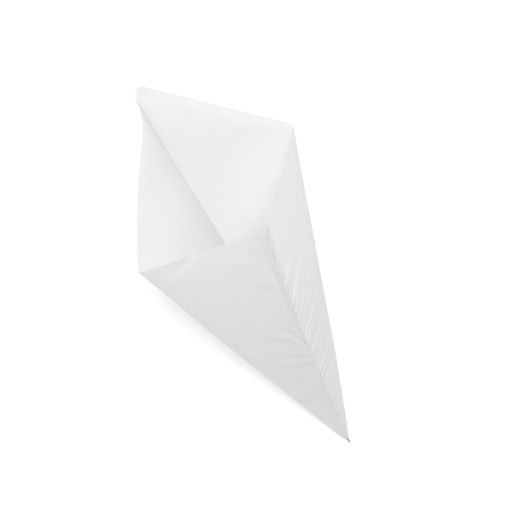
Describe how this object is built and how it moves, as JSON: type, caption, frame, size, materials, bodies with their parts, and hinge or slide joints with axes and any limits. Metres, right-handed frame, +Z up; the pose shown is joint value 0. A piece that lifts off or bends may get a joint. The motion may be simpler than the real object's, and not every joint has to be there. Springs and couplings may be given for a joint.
{
  "type": "paper cone bag",
  "caption": "Pointed paper cone bag folded from a square sheet and glued along its side, pushed open and lying on a panel, with a wide slanting mouth and a pressed tip.",
  "frame": {"origin": "on the table, under the middle of the bag's box", "axes": "+Y from the tip to the mouth, along the pressed fold that lies on the table; +Z up; the right-hand side of the mouth is towards +X"},
  "size_m": [0.1206, 0.2678, 0.0749],
  "materials": {
    "paper": "smooth matte white"
  },
  "bodies": {
    "root": {"paper_cone_bag": "paper"}
  },
  "joints": []
}
